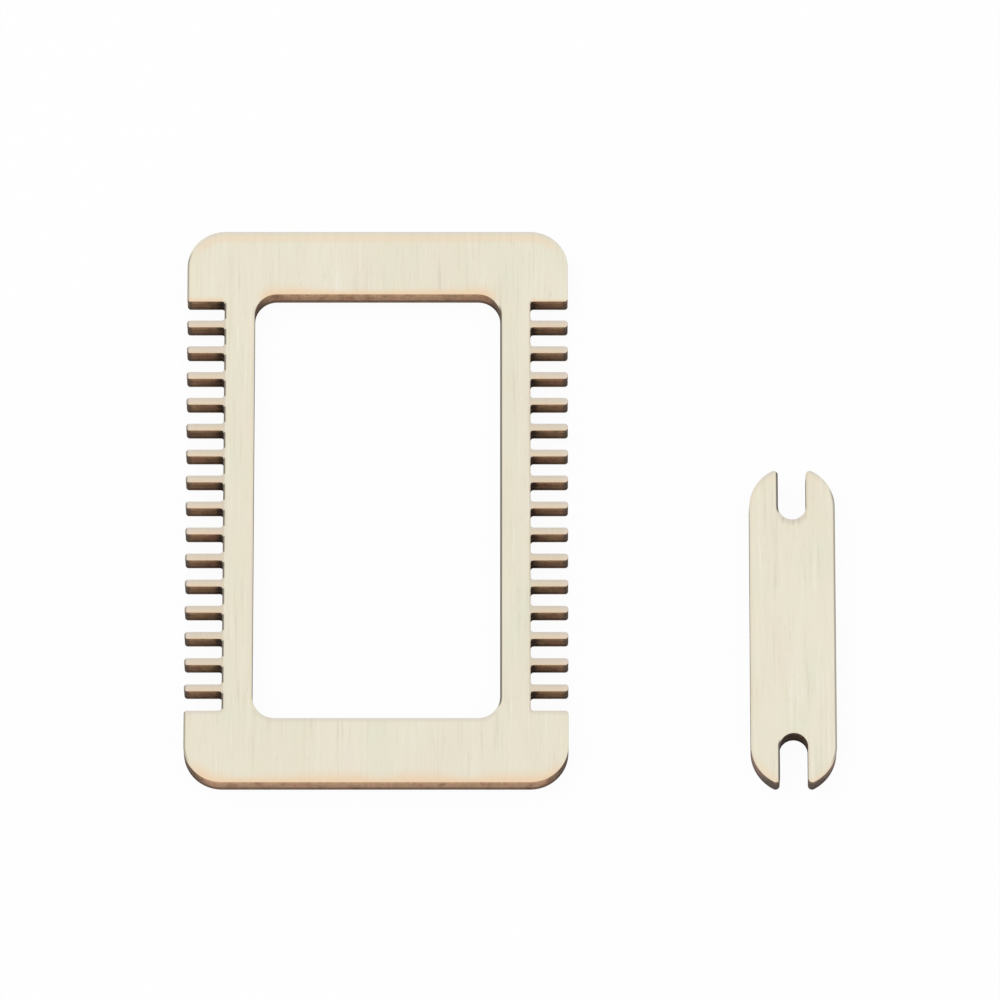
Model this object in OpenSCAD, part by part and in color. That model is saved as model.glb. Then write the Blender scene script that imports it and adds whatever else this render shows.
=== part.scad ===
// Small flat comb loom with its stick shuttle, both laser-cut from three-ply plywood.
// The set lies flat: X runs from the loom to the shuttle, Y along the combs, Z through the board.
// The origin is on the table, under the middle of the set's outline.

/* [Plywood] */
// Thickness of the veneer that faces up
face_ply = 1.2; // [0.6:0.1:2]
// Thickness of the middle veneer, whose grain runs across
core_ply = 1.6; // [0.6:0.1:3]
// Thickness of the veneer that lies on the table
back_ply = 1.2; // [0.6:0.1:2]

/* [Loom frame] */
// Width of the loom over the tips of both combs
frame_w = 60; // [40:0.5:120]
// Height of the solid block above and below each comb
block_h = 11.7; // [7:0.1:30]
// Height of the rail above and below the weaving window
rail_h = 10.5; // [7:0.1:30]
// Width of the spine between the weaving window and the roots of the notches
spine_w = 4.75; // [2:0.05:10]
// Radius of the frame's outer corners
frame_corner_r = 6; // [1:0.25:6]
// Radius of the weaving window's corners
window_corner_r = 3.5; // [0.5:0.25:8]

/* [Combs] */
// Number of teeth on each side
teeth = 15; // [3:1:30]
// Width of one tooth
tooth_w = 1.15; // [0.8:0.05:3]
// Width of the notch that holds a warp thread
notch_w = 3.15; // [1.5:0.05:6]
// Depth of a notch, which is also the length of a tooth
notch_depth = 5.9; // [2:0.1:9]
// Radius that rounds the tooth tips and the mouths of the notches
tip_r = 0.5; // [0.1:0.05:0.55]
// Radius in the two inner corners of a notch
root_r = 0.5; // [0.1:0.05:0.7]

/* [Shuttle] */
// Width of the shuttle
shuttle_w = 13.4; // [8:0.1:30]
// Length of the shuttle over its round ends, before the end notches are cut
shuttle_l = 52.6; // [30:0.1:90]
// Width of the notch in each end of the shuttle, which takes the wound yarn
fork_w = 4.4; // [2:0.1:6]
// Depth of the end notch, from the full round end to the bottom of the notch
fork_depth = 8.75; // [4:0.05:14]
// Radius that rounds the inner tip of each prong
prong_tip_r = 0.65; // [0.1:0.05:1]
// Free space on the table between the loom and the shuttle
shuttle_gap = 28.4; // [2:0.1:60]

/* [Hidden] */
// How far a cutting outline runs past the edge that it cuts
overrun = 1;

core_z = back_ply;
face_z = back_ply + core_ply;

pitch = tooth_w + notch_w;
comb_h = teeth * tooth_w + (teeth + 1) * notch_w;
frame_h = comb_h + 2 * block_h;
window_w = frame_w - 2 * (notch_depth + spine_w);
window_h = frame_h - 2 * rail_h;

set_w = frame_w + shuttle_gap + shuttle_w;
frame_x = (frame_w - set_w) / 2;
shuttle_x = (set_w - shuttle_w) / 2;

// A prong's tip circle touches both the notch wall and the inside of the round end
end_r = shuttle_w / 2;
end_y = shuttle_l / 2 - end_r;
tip_x = fork_w / 2 + prong_tip_r;
tip_y = sqrt(pow(end_r - prong_tip_r, 2) - pow(tip_x, 2));
tip_reach = end_y + tip_y + prong_tip_r;
shuttle_y = tip_reach - frame_h / 2;

$fn = 64;

// Rectangle with four round corners, centred
module rounded_plate(w, h, r) {
    square([w - 2 * r, h], center = true);
    square([w, h - 2 * r], center = true);
    for (sx = [-1, 1], sy = [-1, 1])
        translate([sx * (w / 2 - r), sy * (h / 2 - r)]) circle(r = r);
}

// What rounds the corner at one side of a notch mouth; the plate's edge is at x = 0
module mouth_rounding() {
    difference() {
        translate([-tip_r, notch_w / 2]) square([tip_r + overrun, tip_r]);
        translate([-tip_r, notch_w / 2 + tip_r]) circle(r = tip_r);
    }
}

// One warp notch, cut inwards from the plate's edge at x = 0 towards -X
module notch() {
    inner_x = root_r - notch_depth;
    translate([inner_x, -notch_w / 2]) square([overrun - inner_x, notch_w]);
    translate([-notch_depth, root_r - notch_w / 2]) square([2 * root_r, notch_w - 2 * root_r]);
    for (s = [0, 1]) mirror([0, s]) {
        translate([inner_x, notch_w / 2 - root_r]) circle(r = root_r);
        mouth_rounding();
    }
}

// The row of notches along the right edge of the frame
module comb_notches() {
    for (i = [0 : teeth])
        translate([frame_w / 2, (i - teeth / 2) * pitch]) notch();
}

// Outline of the loom: plate, weaving window and both combs
module frame_outline() {
    difference() {
        rounded_plate(frame_w, frame_h, frame_corner_r);
        rounded_plate(window_w, window_h, window_corner_r);
        comb_notches();
        mirror([1, 0]) comb_notches();
    }
}

// What rounds the inner tip of the prong at the upper right
module prong_tip_rounding() {
    reach = end_r + overrun;
    touch = end_r / (end_r - prong_tip_r);
    difference() {
        polygon([
            [fork_w / 2 - overrun, tip_y],
            [tip_x, tip_y],
            [tip_x * touch, tip_y * touch],
            [tip_x * touch, reach],
            [fork_w / 2 - overrun, reach]
        ]);
        translate([tip_x, tip_y]) circle(r = prong_tip_r);
    }
}

// The yarn notch in the upper end, with its round bottom
module fork_notch() {
    bottom_y = shuttle_l / 2 - fork_depth + fork_w / 2;
    translate([0, bottom_y]) circle(r = fork_w / 2);
    translate([-fork_w / 2, bottom_y]) square([fork_w, fork_depth + overrun]);
}

// Strip with two full round ends, centred
module round_strip() {
    square([shuttle_w, 2 * end_y], center = true);
    for (sy = [-1, 1]) translate([0, sy * end_y]) circle(r = end_r);
}

// Outline of the shuttle: a strip with round ends and a fork at each end
module shuttle_outline() {
    difference() {
        round_strip();
        for (sy = [0, 1]) mirror([0, sy]) {
            fork_notch();
            for (sx = [0, 1]) mirror([sx, 0])
                translate([0, end_y]) prong_tip_rounding();
        }
    }
}

module frame_ply(z, t) {
    translate([frame_x, 0, z]) linear_extrude(height = t) frame_outline();
}

module shuttle_ply(z, t) {
    translate([shuttle_x, shuttle_y, z]) linear_extrude(height = t) shuttle_outline();
}

module frame_face_veneer() {
    color([0.91, 0.88, 0.80]) frame_ply(face_z, face_ply);
}

module frame_core_veneer() {
    color([0.48, 0.36, 0.29]) frame_ply(core_z, core_ply);
}

module frame_back_veneer() {
    color([0.84, 0.79, 0.69]) frame_ply(0, back_ply);
}

module shuttle_face_veneer() {
    color([0.91, 0.89, 0.81]) shuttle_ply(face_z, face_ply);
}

module shuttle_core_veneer() {
    color([0.44, 0.35, 0.30]) shuttle_ply(core_z, core_ply);
}

module shuttle_back_veneer() {
    color([0.84, 0.79, 0.69]) shuttle_ply(0, back_ply);
}

frame_face_veneer();
frame_core_veneer();
frame_back_veneer();
shuttle_face_veneer();
shuttle_core_veneer();
shuttle_back_veneer();
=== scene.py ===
"""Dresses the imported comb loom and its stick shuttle, and adds the studio and the camera.

Each ply gets a fine mesh, with bare veneer on its flat faces and scorched wood on its cut walls.
"""

import math
from collections import namedtuple

import bpy
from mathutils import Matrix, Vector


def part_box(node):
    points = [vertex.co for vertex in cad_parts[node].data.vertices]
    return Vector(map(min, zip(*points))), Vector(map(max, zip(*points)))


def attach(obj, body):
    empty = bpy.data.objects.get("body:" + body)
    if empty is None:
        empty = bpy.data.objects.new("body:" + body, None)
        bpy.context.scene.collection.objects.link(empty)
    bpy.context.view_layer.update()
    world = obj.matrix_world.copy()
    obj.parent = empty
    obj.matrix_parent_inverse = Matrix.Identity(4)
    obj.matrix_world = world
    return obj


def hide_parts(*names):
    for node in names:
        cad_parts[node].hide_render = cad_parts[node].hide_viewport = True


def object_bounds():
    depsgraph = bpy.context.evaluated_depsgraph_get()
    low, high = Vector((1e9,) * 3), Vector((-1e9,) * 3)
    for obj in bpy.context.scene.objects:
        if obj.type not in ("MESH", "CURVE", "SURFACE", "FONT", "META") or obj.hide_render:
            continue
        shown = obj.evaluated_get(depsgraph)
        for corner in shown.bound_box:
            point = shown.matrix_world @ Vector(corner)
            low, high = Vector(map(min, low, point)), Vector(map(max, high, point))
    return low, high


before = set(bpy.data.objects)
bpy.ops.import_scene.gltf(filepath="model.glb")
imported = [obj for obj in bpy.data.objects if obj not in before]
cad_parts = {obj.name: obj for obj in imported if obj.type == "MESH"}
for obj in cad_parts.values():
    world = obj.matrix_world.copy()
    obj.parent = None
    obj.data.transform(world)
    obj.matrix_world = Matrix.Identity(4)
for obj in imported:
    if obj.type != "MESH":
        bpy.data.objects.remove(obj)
cad_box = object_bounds()

MM = 0.001
BOARD_T = cad_box[1][2] / MM

# Board and comb sizes in millimetres, as in the construction
FRAME_CORNER_R = 6.0
WINDOW_CORNER_R = 3.5
RAIL_H = 10.5
SPINE_W = 4.75
TEETH = 15
TOOTH_W = 1.15
NOTCH_W = 3.15
NOTCH_DEPTH = 5.9
TIP_R = 0.5
ROOT_R = 0.5
PITCH = TOOTH_W + NOTCH_W
COMB_HALF = ((TEETH + 1) * PITCH - TOOTH_W) / 2
FORK_W = 4.4
FORK_DEPTH = 8.75
SHUTTLE_L = 52.6
PRONG_TIP_R = 0.65

# The softened rim between face and wall, and the narrow ring of flat face beside it, in millimetres
RIM_R = 0.09
RIM_STEPS = 4
FLAT_RING = 0.06

# Depth of the groove at a glue line, and how far the core lies back, in millimetres
GLUE_GROOVE = 0.035
CORE_SUNK = 0.015

# Fewest steps in an arc, and how far its chords may lie inside it, in millimetres
ARC_STEPS = 3
ARC_ERROR = 0.0015

# The wood's finish; the bump's distance is in metres
ROUGHNESS = 0.7
SPECULAR = 0.05
BUMP = {"Strength": 0.35, "Distance": 0.00004}

# The floor: half its width and the thin gap under the boards, both in metres, and its shade of grey
FLOOR_HALF = 4
FLOOR_GAP = 0.00002
FLOOR_GREY = 0.86

# How white the floor and the sky look to the camera, and how much of the floor's own shading gives way
FLOOR_WHITE = 1.002
FLOOR_WHITE_SHARE = 0.95
SKY_WHITE = 0.992

# The light: strength of the sky, and place and width in metres and power in watts of the softbox
SKY_LIGHT = 0.72
KEY_PLACE = (-0.7, 0.5, 1.4)
KEY_WIDTH = 1.2
KEY_POWER = 9

# The camera as fitted to the photograph: tilt in degrees, distances in metres, lens and sensor in millimetres
CAMERA_TILT = 18.6
CAMERA_DISTANCE = 1.8435
CAMERA_TARGET = (-0.00158, 0.00215, 0)
CAMERA_REACH = 20
LENS = 422.25
SENSOR = 36


def srgb(red, green, blue):
    """A colour as seen on a screen, 0 to 255, in the linear values that shaders take."""
    parts = [v / 255 for v in (red, green, blue)]
    return tuple(v / 12.92 if v <= 0.04045 else ((v + 0.055) / 1.055) ** 2.4 for v in parts)


# The veneer's colours
CREAM = srgb(234, 228, 207)
PALE_STREAK = srgb(243, 238, 222)
DARK_STREAK = srgb(221, 214, 193)
GREEN_CAST = srgb(229, 229, 207)
PINK_CAST = srgb(238, 225, 209)
PORE = srgb(203, 192, 166)
SMOKE = srgb(242, 210, 174)
TOOTH_SMOKE = srgb(209, 188, 166)
TIP_HAZE = srgb(224, 214, 204)
# Painted shade: grey on the face along edges that face +Y, where the rim turns away from the light
FAR_EDGE_SHADE = srgb(207, 200, 193)
BURN_MARK = srgb(176, 160, 134)

# The scorched walls' colours
WALL_DARK = srgb(88, 68, 52)
CHAR = srgb(62, 45, 30)
# Painted shade on the walls at the teeth's tips, which face sideways
TOOTH_TIP_SHADE = srgb(88, 76, 67)
PRONG_TIP = srgb(90, 83, 80)
# Painted shade: the darker walls between the teeth, for each ply, darkest in the lowest
SHADED_COMB_WALLS = {"face": srgb(166, 128, 95), "core": srgb(142, 110, 83), "back": srgb(114, 90, 72)}

# How often a wall's grain changes per millimetre: along Y in the outer plies and along X in the core
GRAIN = {"face": (3.8, 0.35, 4.5), "core": (0.4, 5.0, 3.4), "back": (3.8, 0.35, 4.5)}


def box_mm(node):
    """A node's box as its middle and size in plan, and its lowest and highest point, in millimetres."""
    low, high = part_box(node)
    middle = [(low[i] + high[i]) / 2 / MM for i in (0, 1)]
    size = [(high[i] - low[i]) / MM for i in (0, 1)]
    return middle, size, low[2] / MM, high[2] / MM


def arc(x, y, radius, start, sweep):
    """Points on an arc, each with the direction out of the board there; a hollow corner sweeps backwards."""
    step = 2 * math.degrees(math.acos(1 - ARC_ERROR / radius))
    count = max(ARC_STEPS, math.ceil(abs(sweep) / step))
    side = math.copysign(1, sweep)
    points = []
    for k in range(count + 1):
        angle = math.radians(start + sweep * k / count)
        across, along = math.cos(angle), math.sin(angle)
        points.append((x + radius * across, y + radius * along, side * across, side * along))
    return points


def and_opposite(half):
    """A closed outline from one half and that half turned by 180 degrees, with no doubled points."""
    outline = half + [tuple(-v for v in point) for point in half]
    before = outline[-1:] + outline[:-1]
    return [point for point, last in zip(outline, before) if math.dist(point[:2], last[:2]) > ARC_ERROR]


def frame_outline(width, height):
    """The loom's outer edge with both combs, anticlockwise and the right half first."""
    edge_x, edge_y = width / 2, height / 2
    root_x = edge_x - NOTCH_DEPTH
    corner_x, corner_y = edge_x - FRAME_CORNER_R, edge_y - FRAME_CORNER_R
    half = arc(corner_x, -corner_y, FRAME_CORNER_R, -90, 90)
    for i in range(TEETH + 1):
        low = (i - TEETH / 2) * PITCH - NOTCH_W / 2
        high = low + NOTCH_W
        half += arc(edge_x - TIP_R, low - TIP_R, TIP_R, 0, 90)
        half += arc(root_x + ROOT_R, low + ROOT_R, ROOT_R, -90, -90)
        half += arc(root_x + ROOT_R, high - ROOT_R, ROOT_R, 180, -90)
        half += arc(edge_x - TIP_R, high + TIP_R, TIP_R, -90, 90)
    half += arc(corner_x, corner_y, FRAME_CORNER_R, 0, 90)
    return and_opposite(half)


def window_outline(width, height):
    """The weaving window's edge, clockwise and the right half first."""
    x = width / 2 - NOTCH_DEPTH - SPINE_W - WINDOW_CORNER_R
    y = height / 2 - RAIL_H - WINDOW_CORNER_R
    half = arc(x, y, WINDOW_CORNER_R, 90, -90) + arc(x, -y, WINDOW_CORNER_R, 0, -90)
    return and_opposite(half)


def shuttle_outline(width):
    """The shuttle's edge with a fork in each end, anticlockwise and the upper half first."""
    end_r = width / 2
    end_y = SHUTTLE_L / 2 - end_r
    tip_x = FORK_W / 2 + PRONG_TIP_R
    tip_y = math.sqrt((end_r - PRONG_TIP_R) ** 2 - tip_x**2)
    turn = math.degrees(math.atan2(tip_y, tip_x))
    fork_y = SHUTTLE_L / 2 - FORK_DEPTH + FORK_W / 2
    half = arc(0, end_y, end_r, 0, turn)
    half += arc(tip_x, end_y + tip_y, PRONG_TIP_R, turn, 180 - turn)
    half += arc(0, fork_y, FORK_W / 2, 0, -180)
    half += arc(-tip_x, end_y + tip_y, PRONG_TIP_R, 0, 180 - turn)
    half += arc(0, end_y, end_r, 180 - turn, turn)
    return and_opposite(half)


def rim(z, upwards):
    """Profile of a softened rim whose face is at height z; upwards is 1, or -1 for an underside."""
    profile = []
    for k in range(RIM_STEPS + 1):
        angle = math.radians(90 * k / RIM_STEPS)
        profile.append((RIM_R * (1 - math.cos(angle)), z - upwards * RIM_R * (1 - math.sin(angle))))
    return profile + [(RIM_R + FLAT_RING, z)]


def ply_profile(ply, low, high):
    """Wall of one ply from bottom to top, as pairs of inset and height."""
    sunk = CORE_SUNK if ply == "core" else 0.0
    lower_groove = [(GLUE_GROOVE, low), (sunk, low + GLUE_GROOVE)]
    upper_groove = [(sunk, high - GLUE_GROOVE), (GLUE_GROOVE, high)]
    lower = rim(low, -1)[::-1] if ply == "back" else lower_groove
    upper = rim(high, 1) if ply == "face" else upper_groove
    return lower + upper


def cap_faces(rings):
    """Flat faces, seen from above, that close one ring of points or the space between a ring and its hole.

    Both rings have their right half first. The space between them gives a face on the right and one on the
    left, and a narrow one where these meet at the top and at the bottom.
    """
    if len(rings) == 1:
        return rings
    (right, left), (right_hole, left_hole) = [
        (ring[:len(ring) // 2], ring[len(ring) // 2:]) for ring in rings
    ]
    upper = [right[-1], left[0], left_hole[-1], right_hole[0]]
    lower = [left[-1], right[0], right_hole[-1], left_hole[0]]
    return [right + right_hole, left + left_hole, upper, lower]


def ply_mesh(name, outlines, profile, middle):
    """A closed ply: each outline swept along the profile, with flat caps."""
    points, faces, smooth = [], [], []
    caps = ([], [])
    for outline in outlines:
        count = len(outline)
        first = len(points)
        for inset, z in profile:
            for x, y, out_x, out_y in outline:
                point = (middle[0] + x - inset * out_x, middle[1] + y - inset * out_y, z)
                points.append(tuple(v * MM for v in point))
        for ring in range(len(profile) - 1):
            a, b = first + ring * count, first + (ring + 1) * count
            for i in range(count):
                j = (i + 1) % count
                faces.append((a + i, a + j, b + j, b + i))
                smooth.append(True)
        last = first + (len(profile) - 1) * count
        for cap, start in zip(caps, (first, last)):
            cap.append(list(range(start, start + count)))
    bottom, top = (cap_faces(cap) for cap in caps)
    flat = [loop[::-1] for loop in bottom] + top
    faces += flat
    smooth += [False] * len(flat)
    mesh = bpy.data.meshes.new(name)
    mesh.from_pydata(points, [], faces)
    mesh.polygons.foreach_set("use_smooth", smooth)
    mesh.update()
    piece = bpy.data.objects.new(name, mesh)
    bpy.context.scene.collection.objects.link(piece)
    return piece


# A mix node has sockets of the same names for each kind of data, so its colour sockets go by number
MIX_SHARE, MIX_BELOW, MIX_ABOVE, MIX_RESULT = 0, 6, 7, 2


class Nodes:
    """Short calls for the shader nodes that the materials share."""

    def __init__(self, tree):
        self.tree = tree

    def feed(self, socket, value):
        """Links a socket to another node's socket, or sets it to a number, a vector or a colour."""
        if isinstance(value, bpy.types.NodeSocket):
            self.tree.links.new(value, socket)
        elif socket.type == "RGBA" and len(value) == 3:
            socket.default_value = (*value, 1)
        else:
            socket.default_value = value

    def put(self, kind, inputs, output=0, **settings):
        """Adds a node; inputs maps a socket's name or number to what feeds it."""
        node = self.tree.nodes.new(kind)
        for key, value in settings.items():
            setattr(node, key, value)
        for key, value in inputs.items():
            self.feed(node.inputs[key], value)
        return node.outputs[output]

    def math(self, operation, *values):
        return self.put("ShaderNodeMath", dict(enumerate(values)), operation=operation)

    def plus(self, value, other):
        return self.math("ADD", value, other)

    def minus(self, value, other):
        return self.math("SUBTRACT", value, other)

    def over(self, value, other):
        return self.math("DIVIDE", value, other)

    def absolute(self, value):
        return self.math("ABSOLUTE", value)

    def times(self, value, *others):
        """A product of two or more values."""
        for other in others:
            value = self.math("MULTIPLY", value, other)
        return value

    def without(self, share):
        """What a share leaves of the whole."""
        return self.minus(1.0, share)

    def vector(self, operation, *values):
        if operation == "SCALE":
            return self.put("ShaderNodeVectorMath", {0: values[0], "Scale": values[1]}, operation=operation)
        return self.put("ShaderNodeVectorMath", dict(enumerate(values)), operation=operation)

    def split(self, value):
        node = self.tree.nodes.new("ShaderNodeSeparateXYZ")
        self.feed(node.inputs[0], value)
        return node.outputs

    def ramp(self, value, low, high, start=0.0, end=1.0):
        """start where value is at or under low, end at or over high, and a smooth step between."""
        inputs = {"Value": value, "From Min": low, "From Max": high, "To Min": start, "To Max": end}
        return self.put("ShaderNodeMapRange", inputs, interpolation_type="SMOOTHSTEP")

    def mix(self, share, below, above):
        """A colour mix; share is how much of above shows."""
        inputs = {MIX_SHARE: share, MIX_BELOW: below, MIX_ABOVE: above}
        return self.put("ShaderNodeMix", inputs, MIX_RESULT, data_type="RGBA")

    def noise(self, place, stretch, seed, detail=3.0, roughness=0.5):
        """Noise from 0 to 1; stretch is how often it changes per millimetre along X, Y and Z."""
        scaled = self.vector("MULTIPLY", self.vector("ADD", place, (seed, -seed, seed / 2)), stretch)
        inputs = {"Vector": scaled, "Scale": 1.0, "Detail": detail, "Roughness": roughness}
        return self.put("ShaderNodeTexNoise", inputs, noise_dimensions="3D")

    def rounded_box(self, x, y, half_x, half_y, radius):
        """Distance to a rounded rectangle around zero, negative inside it."""
        over_x = self.minus(self.absolute(x), half_x - radius)
        over_y = self.minus(self.absolute(y), half_y - radius)
        out_x = self.math("MAXIMUM", over_x, 0.0)
        out_y = self.math("MAXIMUM", over_y, 0.0)
        outside = self.math("SQRT", self.plus(self.times(out_x, out_x), self.times(out_y, out_y)))
        inside = self.math("MINIMUM", self.math("MAXIMUM", over_x, over_y), 0.0)
        return self.minus(self.plus(outside, inside), radius)

    def by_side(self, lean_x, lean_y, shares, low, high):
        """One of four shares, for edges that face -Y, +Y, -X and +X, blended where an edge faces between."""
        total = 0.0
        leans = (lean_y, self.times(lean_y, -1.0), lean_x, self.times(lean_x, -1.0))
        for lean, share in zip(leans, shares):
            if share:
                total = self.plus(total, self.ramp(lean, low, high, 0.0, share))
        return total


# What the parts of a ply's material share: their nodes, the place on the ply, that place's x and y from the
# board's middle and its height z, the board's size in plan, the ply, and the seed that sets its noise apart.
# All lengths are in millimetres
Spot = namedtuple("Spot", "nodes place x y z size ply seed")


def from_notch(nodes, y):
    """How far a point lies above the middle of the nearest notch, in millimetres."""
    row = nodes.plus(nodes.over(y, PITCH), TEETH / 2)
    nearest = nodes.math("MINIMUM", nodes.math("MAXIMUM", nodes.math("ROUND", row), 0.0), float(TEETH))
    return nodes.times(nodes.minus(row, nearest), PITCH)


def frame_edges(nodes, x, y, size):
    """How far a point lies inside the loom from each kind of edge, in millimetres."""
    width, height = size
    outer = nodes.rounded_box(x, y, width / 2, height / 2, FRAME_CORNER_R)
    window = (width / 2 - NOTCH_DEPTH - SPINE_W, height / 2 - RAIL_H)
    outwards = nodes.minus(nodes.absolute(x), width / 2)
    return {
        "outer": nodes.times(outer, -1.0),
        "window": nodes.rounded_box(x, y, *window, WINDOW_CORNER_R),
        "notch": nodes.rounded_box(outwards, from_notch(nodes, y), NOTCH_DEPTH, NOTCH_W / 2, ROOT_R),
    }


def shuttle_edges(nodes, x, y, size):
    """How far a point lies inside the shuttle from its outer edge and its forks, in millimetres."""
    outer = nodes.rounded_box(x, y, size[0] / 2, SHUTTLE_L / 2, size[0] / 2)
    outwards = nodes.minus(nodes.absolute(y), SHUTTLE_L / 2)
    return {
        "outer": nodes.times(outer, -1.0),
        "fork": nodes.rounded_box(x, outwards, FORK_W / 2, FORK_DEPTH, FORK_W / 2),
    }


def edge_leans(spot, edges):
    """For each kind of edge its name, its distance, and how that distance grows along X and along Y."""
    step = 0.1
    nodes = spot.nodes
    here = edges(nodes, spot.x, spot.y, spot.size)
    left = edges(nodes, nodes.minus(spot.x, step), spot.y, spot.size)
    below = edges(nodes, spot.x, nodes.minus(spot.y, step), spot.size)
    for edge, depth in here.items():
        lean_x = nodes.over(nodes.minus(depth, left[edge]), step)
        lean_y = nodes.over(nodes.minus(depth, below[edge]), step)
        yield edge, depth, lean_x, lean_y


def in_comb(spot):
    """1 between the end blocks and beyond the roots of the notches, else 0."""
    nodes = spot.nodes
    root_x = spot.size[0] / 2 - NOTCH_DEPTH
    level = nodes.ramp(nodes.absolute(spot.y), COMB_HALF, COMB_HALF + 0.2, 1.0, 0.0)
    beyond = nodes.ramp(nodes.absolute(spot.x), root_x - 0.3, root_x - 0.1)
    return nodes.times(level, beyond)


def veneer(spot):
    """Colour of a pale veneer face with its grain along Y, and its height for the bump."""
    nodes, place, seed = spot.nodes, spot.place, spot.seed
    broad = nodes.noise(place, (0.16, 0.03, 0.1), seed, 2.0)
    cast = nodes.noise(place, (0.2, 0.08, 0.1), seed + 31, 2.0)
    streak = nodes.noise(place, (1.9, 0.06, 0.1), seed + 57, 4.0, 0.6)
    fibre = nodes.noise(place, (6.5, 0.3, 0.2), seed + 83, 3.0, 0.6)
    fading = nodes.noise(place, (0.5, 0.12, 0.1), seed + 97, 2.0)
    pores = nodes.noise(place, (5.5, 0.6, 0.2), seed + 112, 2.0, 0.5)
    colour = nodes.mix(nodes.ramp(broad, 0.35, 0.68, 0.0, 0.3), CREAM, PALE_STREAK)
    colour = nodes.mix(nodes.ramp(cast, 0.52, 0.7, 0.0, 0.5), colour, GREEN_CAST)
    colour = nodes.mix(nodes.ramp(cast, 0.46, 0.28, 0.0, 0.4), colour, PINK_CAST)
    strength = nodes.ramp(fading, 0.38, 0.62, 0.25, 1.0)
    dark = nodes.times(nodes.ramp(streak, 0.52, 0.72, 0.0, 0.85), strength)
    pale = nodes.times(nodes.ramp(streak, 0.46, 0.3, 0.0, 0.85), strength)
    fine = nodes.times(nodes.ramp(fibre, 0.5, 0.75, 0.0, 0.6), strength)
    colour = nodes.mix(dark, colour, DARK_STREAK)
    colour = nodes.mix(pale, colour, PALE_STREAK)
    colour = nodes.mix(fine, colour, DARK_STREAK)
    colour = nodes.mix(nodes.ramp(pores, 0.66, 0.76, 0.0, 0.3), colour, PORE)
    return colour, nodes.plus(nodes.times(fibre, 0.6), nodes.times(streak, 0.4))


def scorched(spot, board, base):
    """A laser-cut wall over its base colour, with painted light at its top and painted shade at its foot, its
    height for the bump, and the patches in it.
    """
    nodes, place, seed = spot.nodes, spot.place, spot.seed
    patches = board["patches"]
    patchy = board["patchy"] * (0.4 if spot.ply == "back" else 1.0)
    patch = nodes.noise(place, (0.45, 0.45, 0.3), seed + 7, 3.0, 0.55)
    tint = nodes.noise(place, (0.5, 0.55, 0.25), seed + 19, 2.0, 0.5)
    kerf = nodes.noise(place, (7.0, 7.0, 0.4), seed + 43, 2.0, 0.6)
    fibre = nodes.noise(place, GRAIN[spot.ply], seed + 71, 3.0, 0.6)
    # Painted light: the wall turns paler towards its top
    colour = nodes.mix(nodes.ramp(spot.z, 2.2, 4.0, 0.0, board["painted_top_light"]), base, patches["light"])
    colour = nodes.mix(nodes.ramp(tint, 0.48, 0.76, 0.0, patchy), colour, patches["red"])
    colour = nodes.mix(nodes.ramp(tint, 0.5, 0.24, 0.0, patchy), colour, patches["gold"])
    colour = nodes.mix(nodes.ramp(patch, 0.5, 0.72, 0.0, 0.5), colour, WALL_DARK)
    colour = nodes.mix(nodes.ramp(fibre, 0.46, 0.24), colour, nodes.vector("SCALE", colour, 1.2))
    colour = nodes.mix(nodes.ramp(fibre, 0.52, 0.75, 0.0, 0.48), colour, WALL_DARK)
    colour = nodes.mix(nodes.ramp(kerf, 0.52, 0.72, 0.0, 0.3), colour, WALL_DARK)
    # Painted shade: the wall darkens near its foot, by the floor
    colour = nodes.mix(nodes.ramp(spot.z, 0.5, 0.9, 0.15, 0.0), colour, WALL_DARK)
    height = nodes.plus(nodes.times(kerf, 0.7), nodes.times(fibre, 0.3))
    return colour, height, patch


def shade_comb_walls(spot, colour):
    """Painted shade: darker walls between the teeth."""
    nodes = spot.nodes
    return nodes.mix(nodes.times(in_comb(spot), 0.92), colour, SHADED_COMB_WALLS[spot.ply])


def comb_char(spot, colour, patch):
    """Painted shade, grey, on the walls at the teeth's tips, and charred roots, where the beam turned."""
    nodes = spot.nodes
    comb = in_comb(spot)
    edge_x = spot.size[0] / 2
    across = nodes.absolute(spot.x)
    # Painted shade at the teeth's tips
    tip = nodes.ramp(across, edge_x - 1.1, edge_x - 0.4, 0.0, 0.8)
    from_root = nodes.minus(across, edge_x - NOTCH_DEPTH)
    uneven = nodes.plus(from_root, nodes.ramp(patch, 0.35, 0.65, 0.25, -0.25))
    root = nodes.ramp(uneven, 0.25, 1.5, 0.96, 0.0)
    colour = nodes.mix(nodes.times(comb, tip), colour, TOOTH_TIP_SHADE)
    return nodes.mix(nodes.times(comb, root), colour, CHAR)


def comb_face(spot, colour, smoke):
    """Smoke over the whole of each tooth in place of half the smoke along its edges, a grey haze at its tip,
    and char in the upper corners of the notches."""
    nodes = spot.nodes
    comb = in_comb(spot)
    edge_x = spot.size[0] / 2
    across = nodes.absolute(spot.x)
    tip = nodes.ramp(across, edge_x - 1.4, edge_x - 0.4, 0.0, 0.55)
    colour = nodes.mix(nodes.times(comb, 0.5), colour, TOOTH_SMOKE)
    colour = nodes.mix(nodes.times(comb, tip), colour, TIP_HAZE)
    above = from_notch(nodes, spot.y)
    upper = nodes.ramp(above, 0.0, 0.5)
    in_notch = nodes.ramp(above, NOTCH_W / 2 - 0.1, NOTCH_W / 2, 1.0, 0.0)
    from_root = nodes.minus(across, edge_x - NOTCH_DEPTH)
    beyond = nodes.ramp(from_root, 0.0, 0.1, 0.0, 0.85)
    colour = nodes.mix(nodes.times(upper, in_notch, beyond), colour, CHAR)
    return colour, nodes.times(smoke, nodes.without(nodes.times(comb, 0.5)))


def fork_base(spot, colour):
    """Greyer walls towards the prongs' tips."""
    nodes = spot.nodes
    tip = nodes.ramp(nodes.absolute(spot.y), SHUTTLE_L / 2 - 3.2, SHUTTLE_L / 2 - 1.2, 0.0, 0.85)
    return nodes.mix(tip, colour, PRONG_TIP)


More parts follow.
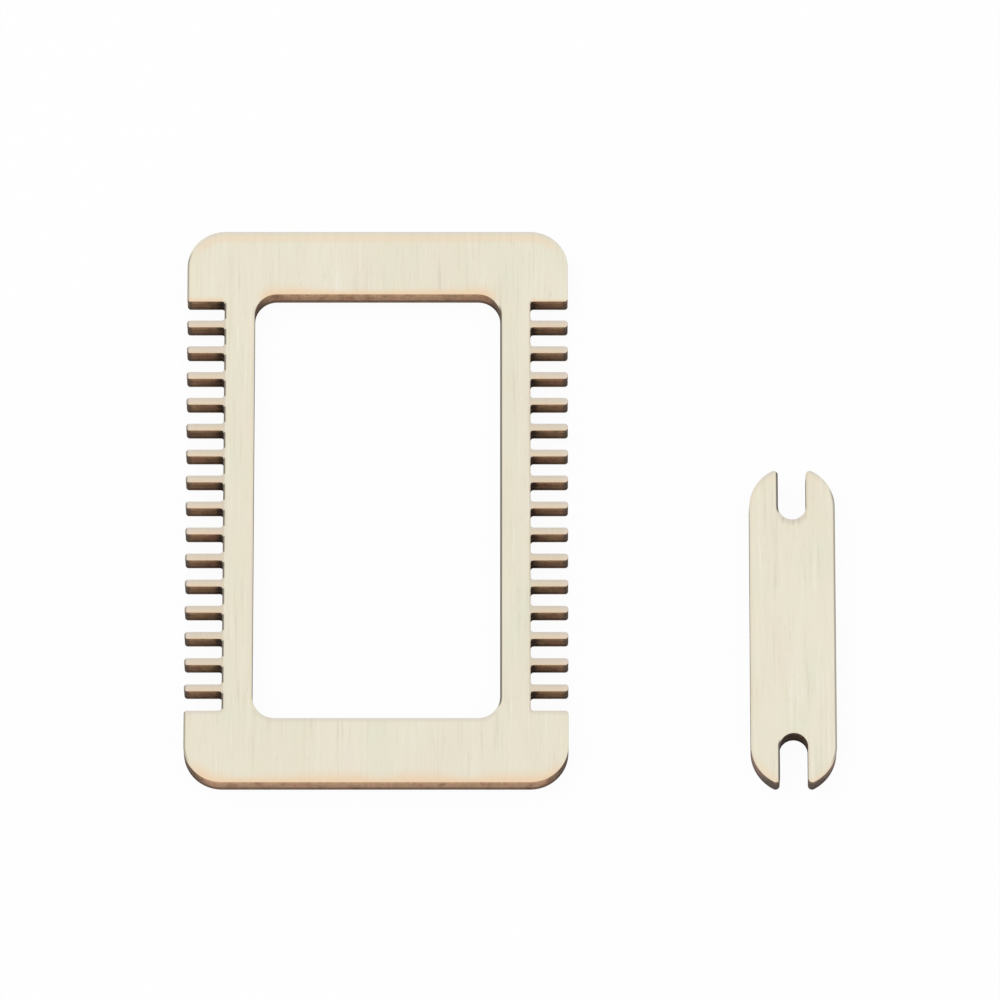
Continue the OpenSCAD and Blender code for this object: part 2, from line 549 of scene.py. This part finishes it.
def fork_char(spot, colour, patch):
    """Charred walls round the bottom of the forks."""
    nodes = spot.nodes
    inner = nodes.ramp(nodes.absolute(spot.x), FORK_W / 2 + 0.1, FORK_W / 2 + 0.4, 1.0, 0.0)
    from_bottom = nodes.minus(nodes.absolute(spot.y), SHUTTLE_L / 2 - FORK_DEPTH)
    deep = nodes.ramp(from_bottom, 1.8, 3.4, 0.95, 0.0)
    uneven = nodes.times(deep, nodes.ramp(patch, 0.42, 0.65, 1.0, 0.75))
    return nodes.mix(nodes.times(inner, uneven), colour, CHAR)


def fork_face(spot, colour, smoke):
    """Faint burn marks along the grain below the upper fork."""
    nodes = spot.nodes
    from_fork = shuttle_edges(nodes, spot.x, spot.y, spot.size)["fork"]
    grain = nodes.noise(spot.place, (2.8, 0.3, 0.2), spot.seed + 140, 2.0)
    upper = nodes.ramp(spot.y, 0.0, 1.0)
    below = nodes.ramp(nodes.absolute(spot.x), 1.6, 2.6, 1.0, 0.0)
    near = nodes.ramp(from_fork, 0.2, 1.5, 1.0, 0.0)
    marks = nodes.ramp(grain, 0.48, 0.62, 0.12, 0.6)
    share = nodes.times(nodes.times(upper, below), nodes.times(near, marks))
    return nodes.mix(share, colour, BURN_MARK), smoke


# What differs between the boards, key by key:
# outlines, edges: the functions for the mesh and for the distance to each kind of edge
# base, char, face: the functions that change the wall's base colour, the wall and the flat face
# seed: sets the board's noise apart
# tone: brightness of the flat faces
# walls: colour of each ply's cut wall, darker in the lower plies, partly the ply's own tone and partly
# painted shade near the floor
# patches: what a wall's colour turns to, a paler colour as painted light towards the top and red and gold
# here and there
# painted_top_light, patchy: how much of the painted light towards the top shows, and how much of the red and
# the gold
# side_light_and_shade, side_turn: painted shade that darkens the loom's walls that face sideways and painted
# light that brightens the shuttle's, and how far they must turn for it
# smoke, edge_line: shares of smoke and of a grey line along the face's edge, for each kind of edge where it
# faces -Y, +Y, -X and +X
# turn: how squarely an edge must face one of those sides before smoke shows there
# reach: least and most distance in millimetres that smoke drifts over the face
# band: share of a second band of smoke, a little way inside the outer edges that face +Y
# far_edge_shade: share of painted shade, grey, on the face along edges that face +Y
# edge_line_colour: colour of the grey lines along the face's edges
LOOM = {
    "outlines": lambda width, height: [frame_outline(width, height), window_outline(width, height)],
    "edges": frame_edges,
    "base": shade_comb_walls,
    "char": comb_char,
    "face": comb_face,
    "seed": 17,
    "tone": 1.006,
    "walls": {"face": srgb(204, 165, 130), "core": srgb(190, 153, 125), "back": srgb(134, 111, 94)},
    "patches": {"light": srgb(222, 180, 138), "red": srgb(170, 118, 94), "gold": srgb(174, 146, 104)},
    "painted_top_light": 0.32,
    "patchy": 0.62,
    "side_light_and_shade": (0.33, 0.35, 0.38),
    "side_turn": (0.25, 0.85),
    "smoke": {
        "outer": (0.85, 0.05, 0.12, 0.05),
        "window": (0.85, 0.05, 0.08, 0.1),
        "notch": (0.85, 0.05, 0.12, 0.08),
    },
    "turn": {"outer": 0.3, "window": 0.5, "notch": 0.85},
    "reach": {"outer": (0.8, 1.4), "window": (0.6, 1.15), "notch": (0.3, 0.7)},
    "band": 0.4,
    "far_edge_shade": 0.44,
    "edge_line": {"outer": (0, 0, 0.6, 0), "window": (0, 0, 1, 0.1), "notch": (0, 0, 0.9, 0.05)},
    "edge_line_colour": srgb(104, 98, 90),
}
SHUTTLE = {
    "outlines": lambda width, height: [shuttle_outline(width)],
    "edges": shuttle_edges,
    "base": fork_base,
    "char": fork_char,
    "face": fork_face,
    "seed": 240,
    "tone": 1.022,
    "walls": {"face": srgb(144, 116, 96), "core": srgb(132, 108, 96), "back": srgb(108, 92, 85)},
    "patches": {"light": srgb(168, 140, 120), "red": srgb(114, 84, 76), "gold": srgb(116, 102, 82)},
    "painted_top_light": 0.5,
    "patchy": 0.6,
    "side_light_and_shade": (1.15, 1.2, 1.25),
    "side_turn": (0.6, 1.0),
    "smoke": {"outer": (0.5, 0.02, 0.15, 0.06), "fork": (0.1, 0.1, 0.15, 0.05)},
    "turn": {"outer": 0.2, "fork": 0.2},
    "reach": {"outer": (0.6, 1.1), "fork": (0.5, 0.9)},
    "band": 0.15,
    "far_edge_shade": 0.6,
    "edge_line": {"outer": (0, 0, 0.08, 0.62), "fork": (0, 0, 0.12, 1)},
    "edge_line_colour": srgb(98, 94, 88),
}


def stained_face(spot, board):
    """The veneer with smoke from the cut, painted shade along edges facing +Y, grey edge lines, and its
    height for the bump.
    """
    nodes = spot.nodes
    spread = nodes.noise(spot.place, (0.12, 0.12, 0.1), spot.seed + 163, 2.0)
    clean, unshaded, lined = 1.0, 1.0, 0.0
    for edge, depth, lean_x, lean_y in edge_leans(spot, board["edges"]):
        far = nodes.over(depth, nodes.ramp(spread, 0.35, 0.65, *board["reach"][edge]))
        drift = nodes.math("POWER", math.e, nodes.times(far, far, -1.0))
        sides = nodes.by_side(lean_x, lean_y, board["smoke"][edge], board["turn"][edge], 0.98)
        clean = nodes.times(clean, nodes.without(nodes.times(drift, sides)))
        # Painted shade, grey, on the face along edges that face +Y
        facing_up = nodes.ramp(nodes.times(lean_y, -1.0), 0.3, 0.95)
        far_edge_shade = nodes.times(nodes.ramp(depth, 0.0, 1.0, board["far_edge_shade"], 0.0), facing_up)
        unshaded = nodes.times(unshaded, nodes.without(far_edge_shade))
        # A grey line along the face's edge, on the sides listed for each board
        line = nodes.ramp(depth, 0.16, 0.4, 1.0, 0.0)
        sides = nodes.by_side(lean_x, lean_y, board["edge_line"][edge], 0.85, 0.99)
        lined = nodes.math("MAXIMUM", lined, nodes.times(line, sides))
        if edge == "outer":
            band = nodes.times(
                nodes.ramp(depth, 0.3, 0.8), nodes.ramp(depth, 1.2, 2.2, board["band"], 0.0)
            )
            clean = nodes.times(clean, nodes.without(nodes.times(band, facing_up)))
    colour, height = veneer(spot)
    colour, smoke = board["face"](spot, colour, nodes.without(clean))
    colour = nodes.mix(smoke, colour, SMOKE)
    # Mixes in the painted shade along edges that face +Y
    colour = nodes.mix(nodes.without(unshaded), colour, FAR_EDGE_SHADE)
    colour = nodes.mix(lined, colour, board["edge_line_colour"])
    return nodes.vector("SCALE", colour, board["tone"]), height


def ply_material(name, ply, board, middle, size):
    """Veneer on the flat faces, scorched wood on the cut walls, blended over the rim between them."""
    material = bpy.data.materials.new(name)
    material.use_nodes = True
    tree = material.node_tree
    shader = tree.nodes["Principled BSDF"]
    nodes = Nodes(tree)
    here = nodes.put("ShaderNodeTexCoord", {}, "Object")
    place = nodes.vector("MULTIPLY", here, (1 / MM,) * 3)
    x, y, z = nodes.split(nodes.vector("SUBTRACT", place, (*middle, 0)))
    spot = Spot(nodes, place, x, y, z, size, ply, board["seed"])
    normal_x, _, normal_z = nodes.split(nodes.put("ShaderNodeTexCoord", {}, "Normal"))
    sideways = nodes.absolute(normal_x)

    base = board["base"](spot, board["walls"][ply])
    colour, height, patch = scorched(spot, board, base)
    # Painted shade on the loom's walls that face sideways, painted light on the shuttle's
    sideways_shading = nodes.vector("MULTIPLY", colour, board["side_light_and_shade"])
    colour = nodes.mix(nodes.ramp(sideways, *board["side_turn"]), colour, sideways_shading)
    charred = board["char"](spot, colour, patch)
    colour = nodes.mix(nodes.ramp(sideways, 0.9, 1.0, 1.0, 0.35), colour, charred)
    if ply != "core":
        from_middle = nodes.absolute(nodes.minus(z, BOARD_T / 2))
        outermost = nodes.ramp(from_middle, BOARD_T / 2 - 0.3, BOARD_T / 2 - 0.15)
        flatness = nodes.times(outermost, nodes.ramp(nodes.absolute(normal_z), 0.15, 0.75))
        face, face_height = stained_face(spot, board)
        colour = nodes.mix(flatness, colour, face)
        heights = {"Value": flatness, "To Min": height, "To Max": face_height}
        height = nodes.put("ShaderNodeMapRange", heights)
    nodes.feed(shader.inputs["Base Color"], colour)
    nodes.feed(shader.inputs["Normal"], nodes.put("ShaderNodeBump", {"Height": height, **BUMP}))
    shader.inputs["Roughness"].default_value = ROUGHNESS
    shader.inputs["Specular IOR Level"].default_value = SPECULAR
    return material


def add_board(title, body, board):
    """The three plies of one board, each in place of its construction solid."""
    for ply in ("face", "core", "back"):
        node = f"{title}_{ply}_veneer"
        middle, size, low, high = box_mm(node)
        piece = ply_mesh(f"{node}_fine", board["outlines"](*size), ply_profile(ply, low, high), middle)
        piece.data.materials.append(ply_material(f"{title}_{ply}", ply, board, middle, size))
        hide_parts(node)
        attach(piece, body)


def two_faced(tree, kind, inputs, white, share, output):
    """White to the camera and in reflections, by a share, and a shader of the given kind to other rays."""
    nodes = Nodes(tree)
    seen_kind = "ShaderNodeBackground" if kind == "ShaderNodeBackground" else "ShaderNodeEmission"
    lit = nodes.put(kind, inputs)
    seen = nodes.put(seen_kind, {"Color": (1, 1, 1, 1), "Strength": white})
    camera, glossy, through = [
        nodes.put("ShaderNodeLightPath", {}, f"Is {ray} Ray") for ray in ("Camera", "Glossy", "Transmission")
    ]
    direct = nodes.math("MAXIMUM", nodes.math("MAXIMUM", camera, glossy), through)
    mixed = {0: nodes.times(direct, share), 1: lit, 2: seen}
    nodes.feed(output.inputs["Surface"], nodes.put("ShaderNodeMixShader", mixed))


def open_from_below(tree):
    """Lets the underside be seen through the floor, and be lit across the thin gap under it."""
    nodes = Nodes(tree)
    surface = tree.nodes["Material Output"].inputs["Surface"]
    solid = surface.links[0].from_socket
    behind = nodes.put("ShaderNodeNewGeometry", {}, "Backfacing")
    close = nodes.math("LESS_THAN", nodes.put("ShaderNodeLightPath", {}, "Ray Length"), 3 * FLOOR_GAP)
    share = nodes.math("MAXIMUM", behind, close)
    mixed = {0: share, 1: solid, 2: nodes.put("ShaderNodeBsdfTransparent", {})}
    nodes.feed(surface, nodes.put("ShaderNodeMixShader", mixed))


def add_floor():
    """A pale floor that shows almost white to the camera, with a faint shadow under the boards."""
    mesh = bpy.data.meshes.new("floor")
    corners = [(x * FLOOR_HALF, y * FLOOR_HALF, -FLOOR_GAP) for x, y in ((-1, -1), (1, -1), (1, 1), (-1, 1))]
    mesh.from_pydata(corners, [], [(0, 1, 2, 3)])
    floor = bpy.data.objects.new("floor", mesh)
    bpy.context.scene.collection.objects.link(floor)
    material = bpy.data.materials.new("floor")
    material.use_nodes = True
    tree = material.node_tree
    pale = {"Color": (FLOOR_GREY, FLOOR_GREY, FLOOR_GREY, 1)}
    output = tree.nodes["Material Output"]
    two_faced(tree, "ShaderNodeBsdfDiffuse", pale, FLOOR_WHITE, FLOOR_WHITE_SHARE, output)
    open_from_below(tree)
    floor.data.materials.append(material)


def add_sky():
    """Even studio light from all around, white behind the object."""
    world = bpy.data.worlds.new("studio")
    bpy.context.scene.world = world
    world.use_nodes = True
    tree = world.node_tree
    light = {"Color": (1, 1, 1, 1), "Strength": SKY_LIGHT}
    two_faced(tree, "ShaderNodeBackground", light, SKY_WHITE, 1.0, tree.nodes["World Output"])


def add_softbox():
    """A square area light that faces the object."""
    data = bpy.data.lights.new("key", "AREA")
    data.size = KEY_WIDTH
    data.energy = KEY_POWER
    light = bpy.data.objects.new("key", data)
    light.location = KEY_PLACE
    light.rotation_euler = light.location.to_track_quat("Z", "Y").to_euler()
    bpy.context.scene.collection.objects.link(light)


def add_camera():
    """Looks down at the set from the photograph's side and angle."""
    tilt = math.radians(CAMERA_TILT)
    data = bpy.data.cameras.new("camera")
    data.sensor_width = SENSOR
    data.lens = LENS
    data.clip_end = CAMERA_REACH
    camera = bpy.data.objects.new("camera", data)
    camera.location = (
        CAMERA_TARGET[0],
        CAMERA_TARGET[1] - CAMERA_DISTANCE * math.sin(tilt),
        CAMERA_TARGET[2] + CAMERA_DISTANCE * math.cos(tilt),
    )
    camera.rotation_euler = (tilt, 0, 0)
    bpy.context.scene.collection.objects.link(camera)
    bpy.context.scene.camera = camera


bpy.context.scene.view_settings.view_transform = "Standard"
add_camera()
add_floor()
add_sky()
add_softbox()
add_board("frame", "loom_frame", LOOM)
add_board("shuttle", "shuttle", SHUTTLE)
